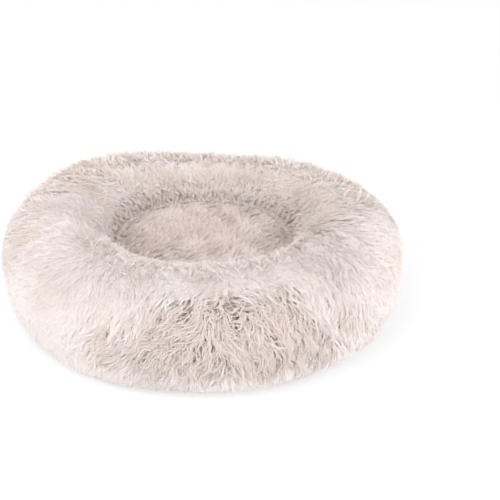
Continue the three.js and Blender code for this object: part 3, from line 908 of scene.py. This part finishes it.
def cushion_pile():
    rng = np.random.default_rng(SEED + 50)
    x, y = cushion.scatter(CUSHION_LOCKS, rng)
    root = cushion.at(x, y)
    broad, patch = Noise(160 * MM, 11), Noise(45 * MM, 12)
    count = CUSHION_LOCKS
    own = rng.normal(0, 0.32, count)

    def heading(place, share):
        here = cushion.at(*place)
        combed = CUSHION_COMBING + 0.45 * broad(here) + 0.3 * patch(here) + own
        out = turned(0, np.arctan2(place[1], place[0]) - combed)
        return combed + 0.7 * out * smoothstep(0.85, 1, np.hypot(*place) / cushion.radius)

    guides = grow(cushion, (x, y), heading, CUSHION_LENGTH * rng.uniform(*LENGTH_SPREAD, count))
    level = rng.normal(0, 0.04, count)
    # Lighter towards the cushion's near side: painted light against the shade that the near wall casts there
    near_side = smoothstep(-40 * MM, -125 * MM, y)
    lock_tone = 0.27 + 0.55 * near_side + 0.1 * Noise(70 * MM, 13)(root) + rng.normal(0, 0.03, count)
    count = CUSHION_STRANDS
    start = cushion.scatter(count, rng)
    which = nearest(cushion.at(*start), root)
    offset = np.stack([start[0] - x[which], start[1] - y[which]], -1)
    top = np.clip(1 + level[which] + rng.normal(0, 0.03, count), 0.6, 1.15)
    reach = rng.uniform(*REACH_SPREAD, count)
    width = CUSHION_WIDTH * rng.uniform(*WIDTH_SPREAD, count)
    tone = palette(False, lock_tone[which] + rng.normal(0, 0.06, count))
    lines, ups = gathered(cushion, guides, which, offset, reach, 0.4,
                          climb(root_depth(CUSHION_SHAG) - 0.12, top, 2), STRAND_POINTS, 24 * MM)
    in_sectors("cushion_pile", np.arctan2(start[1], start[0]), lines, ups, width, tone)


def tufts(name, rng, base, up, lean, longer=1, lighter=0):
    """Small tufts that rise from the pile and bow over, each a few strands that meet at their tips."""
    lengths, bends, spread, width, tone, strength, seed = TUFTS[name]
    length = rng.uniform(*lengths, len(base)) * longer
    bend = rng.uniform(*bends, len(base))
    tone = tone + strength * Noise(60 * MM, seed)(base) + lighter
    which = np.repeat(np.arange(len(base)), TUFT_STRANDS)
    count = len(which)
    root, rising_way, leaning = base[which], up[which], lean[which]
    side = unit(np.cross(up, lean))[which]
    turn = rng.uniform(0, TURN, count)
    far = spread * np.sqrt(rng.random(count))
    offset = (np.cos(turn) * far)[:, None] * leaning + (np.sin(turn) * far)[:, None] * side
    own_length = length[which] * rng.uniform(0.65, 1.1, count)
    curl = rng.uniform(-0.07, 0.07, len(base))[which]
    draw = rng.uniform(0.4, 0.95, len(base))[which]
    lines = []
    for share in np.linspace(0, 1, STRAND_POINTS):
        bent = bend[which] * share
        rise = own_length * np.sin(bent) / bend[which]
        run = own_length * (1 - np.cos(bent)) / bend[which]
        wave = own_length * curl * math.sin(share * 1.5 * math.pi)
        lines.append(root + offset * (1 - draw * share)[:, None] + rising_way * rise[:, None]
                     + leaning * run[:, None] + side * wave[:, None])
    face = unit(rising_way + 0.35 * rng.normal(0, 1, (count, 3)))
    ups = np.repeat(face[:, None], STRAND_POINTS, 1)
    tones = palette(False, tone[which] + rng.normal(0, 0.07, count))
    widths = width * rng.uniform(*WIDTH_SPREAD, count)
    in_sectors(name, np.arctan2(root[:, 1], root[:, 0]), np.stack(lines, 1), ups, widths, tones)


def in_pile(turn, angle, depth):
    """Places in the ring's pile, the way out of it, and the way down its outside."""
    here = ring.at(turn, angle, depth)
    up = unit(ring.at(turn, angle, depth + 0.1) - here)
    return here, up, unit(np.cross(around(turn), up))


def seam_tufts():
    """Tufts off the wall's foot and the cushion's edge, which hide the seam between them."""
    rng = np.random.default_rng(SEED + 70)
    count = SEAM_TUFTS
    turn = rng.random(count) * TURN
    angle = np.radians(rng.uniform(143 + 14 * bell(turn, *LEFT_WALL), 167))
    base, up, _ = in_pile(turn, angle, 0.82)
    way = np.array(DOWN) + up * 0.15 + around(turn) * rng.normal(0, 0.6, (count, 1))
    lean = unit(way - up * (way * up).sum(-1, keepdims=True))
    tufts("seam_tufts", rng, base, up, lean)
    count = CUSHION_TUFTS
    r = cushion.radius * (1 - 0.012 - 0.1 * rng.random(count) ** 1.6)
    turn = rng.random(count) * TURN
    base = cushion.at(r * np.cos(turn), r * np.sin(turn), 0.75)
    up = np.tile((0, 0, 1.0), (count, 1))
    lean = outward(turn) * rng.uniform(0.1, 1, (count, 1)) + around(turn) * rng.normal(0, 0.5, (count, 1))
    tufts("cushion_tufts", rng, base, up, unit(lean))


def rim_tufts():
    rng = np.random.default_rng(SEED + 80)
    turn, angle = ring.scatter(RIM_TUFTS, rng, outline_at)
    count = len(turn)
    base, up, down = in_pile(turn, angle, 0.84)
    inward = smoothstep(1.4, 2.1, angle)
    heading = rng.normal(0, 0.9, count) + math.pi * (rng.random(count) < inward)
    lean = unit(down * np.cos(heading)[:, None] + around(turn) * np.sin(heading)[:, None])
    flat = fringe_at(turn, angle)
    up = up * (1 - 0.6 * flat)[:, None]
    lighter = 0.12 * flat - 0.16 * smoothstep(1.7, 2.3, angle)
    tufts("rim_tufts", rng, base, up, lean, 1 + 0.4 * flat, lighter)


def flyaways():
    """Single fine hairs that stand out from the pile."""
    rng = np.random.default_rng(SEED + 90)
    start = ring.scatter(FLYAWAYS, rng, lambda turn, angle: 0.6 + 3 * fringe_at(turn, angle))
    count = len(start[0])
    broad, patch = Noise(210 * MM, 1), Noise(40 * MM, 31)
    own = rng.normal(0, 0.8, count)
    inward = math.pi * (rng.random(count) < fringe_at(*start))

    def heading(place, share):
        here = ring.at(*place)
        return inward + 0.5 * broad(here) + 0.5 * patch(here) + own * (1 + share)

    guides = grow(ring, start, heading, FLYAWAY_LENGTH * rng.uniform(0.7, 1.4, count))
    top = rng.uniform(1.04, 1.22, count) + 0.1 * fringe_at(*start)
    lines, ups = gathered(ring, guides, np.arange(count), 0, np.ones(count), 0, climb(FLYAWAY_ROOT, top, 1),
                          FLYAWAY_POINTS, 3 * MM)
    ups = unit(ups + 0.5 * rng.normal(0, 1, (count, 1, 3)))
    tone = palette(False, rng.uniform(0.5, 0.85, count))
    width = FLYAWAY_WIDTH * rng.uniform(*WIDTH_SPREAD, count)
    in_sectors("rim_flyaways", start[0], lines, ups, width, tone)


# Padded skins below the pile

def face_piece(name, verts, faces, material):
    mesh = bpy.data.meshes.new(name)
    mesh.from_pydata(np.asarray(verts).tolist(), [], [list(map(int, face)) for face in faces])
    mesh.polygons.foreach_set("use_smooth", np.ones(len(mesh.polygons), bool))
    return add_piece(name, mesh, material)


def skin(name, first, second, shag):
    """Joins two grids of points, one over the other, into a closed skin with the undercoat's colour."""
    points = np.concatenate([first, second[:, ::-1]], 1)
    here = np.arange(points[..., 0].size).reshape(points.shape[:2])
    below = np.roll(here, -1, 0)
    faces = np.stack([here, np.roll(here, -1, 1), np.roll(below, -1, 1), below], -1).reshape(-1, 4)
    piece = face_piece(name, points.reshape(-1, 3), faces, UNDERCOAT_CLOTH)
    layer = piece.data.attributes.new("shag", "FLOAT", "POINT")
    browner = smoothstep(0.3, 1, np.concatenate([shag, shag[:, ::-1]], 1))
    layer.data.foreach_set("value", browner.astype(np.float32).ravel())
    return piece


def round_bed(rows, across):
    return np.meshgrid(np.arange(rows) * TURN / rows, across, indexing="ij")


def ring_skin():
    """The ring's plush strip: its undercoat outside and its backing inside, closed along both seams."""
    turn, angle = round_bed(300, np.linspace(FOOT_ANGLE, SEAM_ANGLE, 90))
    shag = shag_at(turn, angle)
    piece = skin("rim_plush", ring.at(turn, angle, BACKING), ring.at(turn, angle, root_depth(shag)), shag)
    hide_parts("rim_cover")


def cushion_skin():
    turn, radius = round_bed(96, np.linspace(0.002, CUSHION_REACH, 40) * cushion.radius)
    place = radius * np.cos(turn), radius * np.sin(turn)
    outside = cushion.at(*place, root_depth(CUSHION_SHAG))
    piece = skin("cushion_plush", outside, cushion.at(*place, BACKING), np.full(turn.shape, CUSHION_SHAG))
    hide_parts("cushion_cover")


# Base cloth, its grips and its topstitching

def base_cloth(half, side):
    """One half of the base as drawn cloth, from the zip's edge out to the ring's seam. Side 1 is the rear."""
    node = f"base_panel_{half}"
    tree = solid_tree(node)
    low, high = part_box(node)
    over = high[2] + 10 * MM
    depth = abs(low[1] if side < 0 else high[1])

    def top(x, y):
        hit = tree.ray_cast(Vector((x, side * y, over)), DOWN)[0]
        return None if hit is None else hit[2]

    reach = high[0] - CLOTH_INSET
    notch = bisected(0, reach * 0.9, lambda x: top(x, 2 * MM) is not None)
    stations = [reach * math.cos(math.pi * i / CLOTH_STATIONS) for i in range(CLOTH_STATIONS + 1)]
    stations += [end + gap for end in (notch, -notch) for gap in (-0.05 * MM, 0.05 * MM)]
    stations.sort()
    upper = np.empty((len(stations), CLOTH_COLUMNS, 3))
    for i, x in enumerate(stations):
        middle = max(0.3 * depth * math.sqrt(max(0, 1 - (x / reach) ** 2)), 1.5 * MM)
        near = bisected(0, middle, lambda y: top(x, y) is not None)
        far = bisected(reach * 1.2, middle, lambda y: top(x, y) is not None)
        last = None
        for j, y in enumerate(np.linspace(near, far, CLOTH_COLUMNS)):
            z = top(x, y)
            last = last if z is None else z
            upper[i, j] = (x, side * y, last)
    thickness = cloth_thickness(tree, low)
    verts = np.concatenate([upper.reshape(-1, 3), (upper - (0, 0, thickness)).reshape(-1, 3)])
    a, b = np.arange(len(verts)).reshape(2, len(stations), CLOTH_COLUMNS)
    edge = np.concatenate([a[0, :], a[1:, -1], a[-1, -2::-1], a[-2:0:-1, 0]])
    edge_under = edge + a.size
    faces = np.concatenate([
        np.stack([a[:-1, :-1], a[1:, :-1], a[1:, 1:], a[:-1, 1:]], -1).reshape(-1, 4),
        np.stack([b[:-1, :-1], b[:-1, 1:], b[1:, 1:], b[1:, :-1]], -1).reshape(-1, 4),
        np.stack([edge, np.roll(edge, -1), np.roll(edge_under, -1), edge_under], -1),
    ])
    piece = face_piece(f"base_cloth_{half}", verts, faces[:, ::side], BASE_CLOTH)
    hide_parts(node)
    return upper, thickness, notch


def cloth_thickness(tree, low):
    """Measured at places on the raised middle, where no grip is."""
    y = (low[1] + low[1] / 4) / 2 if low[1] < -50 * MM else 120 * MM
    upper = tree.ray_cast(Vector((0, y, 1)), DOWN)[0]
    lower = tree.ray_cast(Vector((0, y, -1)), -DOWN)[0]
    return upper[2] - lower[2]


def add_rings(verts, faces, rings):
    """Adds a closed skin through rings of points, anticlockwise as seen from the last one's side."""
    base, sides = len(verts), len(rings[0])
    last = base + (len(rings) - 1) * sides
    for points in rings:
        verts.extend(points)
    for start in range(base, last, sides):
        for i in range(sides):
            a, b = start + i, start + (i + 1) % sides
            faces.append((a, b, b + sides, a + sides))
    faces.append(range(base + sides - 1, base - 1, -1))
    faces.append(range(last, last + sides))


def grips(half):
    """Domed rubber grips where the CAD panel has its own, each soaked a little into the cloth."""
    points = np.array([v.co for v in bpy.data.objects[f"base_panel_{half}"].data.vertices])
    feet = points[points[:, 2] < 0.1 * MM]
    rises = [k / (GRIP_LEVELS - 1) * math.pi / 2 for k in range(1, GRIP_LEVELS)]
    dome = [(GRIP_RADIUS * math.sin(t) ** 0.7, GRIP_HEIGHT * (1 - math.cos(t)) ** 1.5) for t in rises]
    profile = [(0.25 * GRIP_RADIUS, 0), *dome, (GRIP_RADIUS, GRIP_HEIGHT + GRIP_ROOT)]
    turns = np.arange(GRIP_SIDES) * TURN / GRIP_SIDES
    verts, faces = [], []
    while len(feet):
        mine = np.linalg.norm(feet - feet[0], axis=1) < 2.2 * GRIP_RADIUS
        x, y, _ = feet[mine].mean(0)
        feet = feet[~mine]
        add_rings(verts, faces, [[(x + radius * math.cos(t), y + radius * math.sin(t), z) for t in turns]
                                 for radius, z in profile])
    face_piece(f"base_grips_{half}", verts, faces, GRIP_RUBBER)


def topstitch(name, route, z):
    """Short rounded stitches along a route of points in X and Y, below the cloth at height z."""
    route = np.array(route)
    legs = np.linalg.norm(np.diff(route, axis=0), axis=1)
    far = np.concatenate([[0], np.cumsum(legs)])
    turns = np.arange(STITCH_SIDES) * TURN / STITCH_SIDES
    verts, faces = [], []
    for start in np.arange(0, far[-1] - STITCH_LENGTH, STITCH_LENGTH + STITCH_GAP):
        rings = []
        for share in np.linspace(0, 1, STITCH_RINGS):
            spot = start + share * STITCH_LENGTH
            x, y = np.interp(spot, far, route[:, 0]), np.interp(spot, far, route[:, 1])
            leg = min(np.searchsorted(far, spot, side="right") - 1, len(legs) - 1)
            along = (route[leg + 1] - route[leg]) / legs[leg]
            half = STITCH_WIDTH / 2 * math.sin(math.pi * (0.06 + 0.88 * share)) ** 0.5
            rings.append([(x - along[1] * half * math.cos(t), y + along[0] * half * math.cos(t),
                           z + half * (math.sin(t) - 2 / 3)) for t in turns])
        add_rings(verts, faces, rings)
    face_piece(name, verts, faces, THREAD)


def dress_base():
    """Both halves of the base, each with a row of stitches along its tape and a bar across each end."""
    low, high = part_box("zip_tape_front")
    for half, side in (("front", -1), ("rear", 1)):
        upper, thickness, notch = base_cloth(half, side)
        middle = upper[len(upper) // 2, 0]
        row = side * (abs(middle[1]) + STITCH_INSET)
        ends = (notch + min(-low[0], high[0])) / 2
        start = side * STITCH_END
        route = [(-ends, start), (-ends, row), (ends, row), (ends, start)]
        topstitch(f"zip_stitching_{half}", route, middle[2] - thickness)
        grips(half)


dress_base()
ring_skin()
cushion_skin()
ring_pile()
cushion_pile()
seam_tufts()
rim_tufts()
flyaways()


# Camera, floor and light

def place_in_scene(name, data, place, look):
    """Adds a camera or a lamp that looks in a direction."""
    thing = add_object(name, data)
    thing.location = place
    thing.rotation_mode = "QUATERNION"
    thing.rotation_quaternion = look.to_track_quat("-Z", "Y")
    return thing


def place_camera():
    back = Vector((0, -math.cos(VIEW_ELEVATION), math.sin(VIEW_ELEVATION)))
    up = Vector((0, math.sin(VIEW_ELEVATION), math.cos(VIEW_ELEVATION)))
    look = -back * math.cos(VIEW_PAN) + Vector((1, 0, 0)) * math.sin(VIEW_PAN)
    look = look * math.cos(VIEW_TILT) + up * math.sin(VIEW_TILT)
    data = bpy.data.cameras.new("camera")
    data.lens = VIEW_LENS
    data.sensor_width = SENSOR
    SCENE.camera = place_in_scene("camera", data, back * VIEW_DISTANCE, look)


def stage_floor():
    """A floor that the camera sees as white, but for the object's shadow."""
    corners = [(x * FLOOR_HALF, y * FLOOR_HALF, 0) for x, y in ((-1, -1), (1, -1), (1, 1), (-1, 1))]
    mesh = bpy.data.meshes.new("floor")
    mesh.from_pydata(corners, [], [(0, 1, 2, 3)])
    material, tree = new_material("pale_floor", (250, 250, 250), 0.9)
    glow = tree.add("Emission", Strength=1)["Emission"]
    lit = tree.nodes["Principled BSDF"].outputs["BSDF"]
    tree.blend(tree.maths("MULTIPLY", tree.seen(), FLOOR_GLOW), lit, glow, "Material Output")
    mesh.materials.append(material)
    floor = add_object("floor", mesh)


def light_scene():
    """Even white light, with a soft key from the upper left, and fills from low in front and both sides."""
    world = bpy.data.worlds.new("studio")
    SCENE.world = world
    tree = Tree(world)
    light = tree.give(tree.nodes["Background"], Color=WHITE, Strength=WORLD_STRENGTH)["Background"]
    white = tree.add("Background", Color=WHITE)["Background"]
    tree.blend(tree.seen(), light, white, "World Output")
    for name, (place, power) in LAMPS.items():
        data = bpy.data.lights.new(name, "AREA")
        data.shape = "DISK"
        data.size = LAMP_SIZE
        data.energy = power
        place_in_scene(name, data, place, -Vector(place))
    SCENE.view_settings.view_transform = "Standard"


place_camera()
stage_floor()
light_scene()
